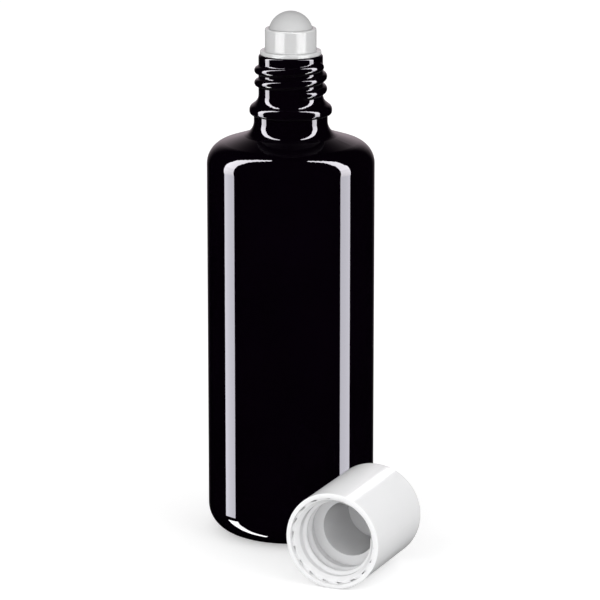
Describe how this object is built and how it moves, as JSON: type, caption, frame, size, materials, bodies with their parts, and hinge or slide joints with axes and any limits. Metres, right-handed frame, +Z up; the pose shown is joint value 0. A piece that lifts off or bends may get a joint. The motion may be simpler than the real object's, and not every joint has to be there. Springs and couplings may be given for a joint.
{
  "type": "roll-on bottle",
  "caption": "Round dark glass bottle with a screw neck, a plug-in fitment that holds a roller ball, and a white screw cap that lies beside it.",
  "frame": {"origin": "middle of the bottle's foot, on the plane that it stands on", "axes": "+Z up along the bottle's axis; the cap lies on its side towards +X and -Y, its axis along Y and its mouth towards -Y"},
  "size_m": [0.0594, 0.061, 0.1275],
  "materials": {
    "dark_glass": "polished, violet so deep that it looks black",
    "natural_plastic": "glossy, faintly translucent",
    "ball_plastic": "satin",
    "white_plastic": "glossy white"
  },
  "bodies": {
    "bottle": {"glass_bottle": "dark_glass", "roller_housing": "natural_plastic"},
    "ball": {"roller_ball": "ball_plastic"},
    "cap": {"screw_cap": "white_plastic"}
  },
  "joints": [
    {"name": "ball_roll", "type": "hinge", "parent": "bottle", "child": "ball", "pos_m": [0, 0, 0.12219], "axis": [1, 0, 0], "continuous": true},
    {"name": "cap_lift", "type": "slide", "parent": "bottle", "child": "cap", "axis": [0, 0, 1], "range_m": [0, 0.15]}
  ]
}
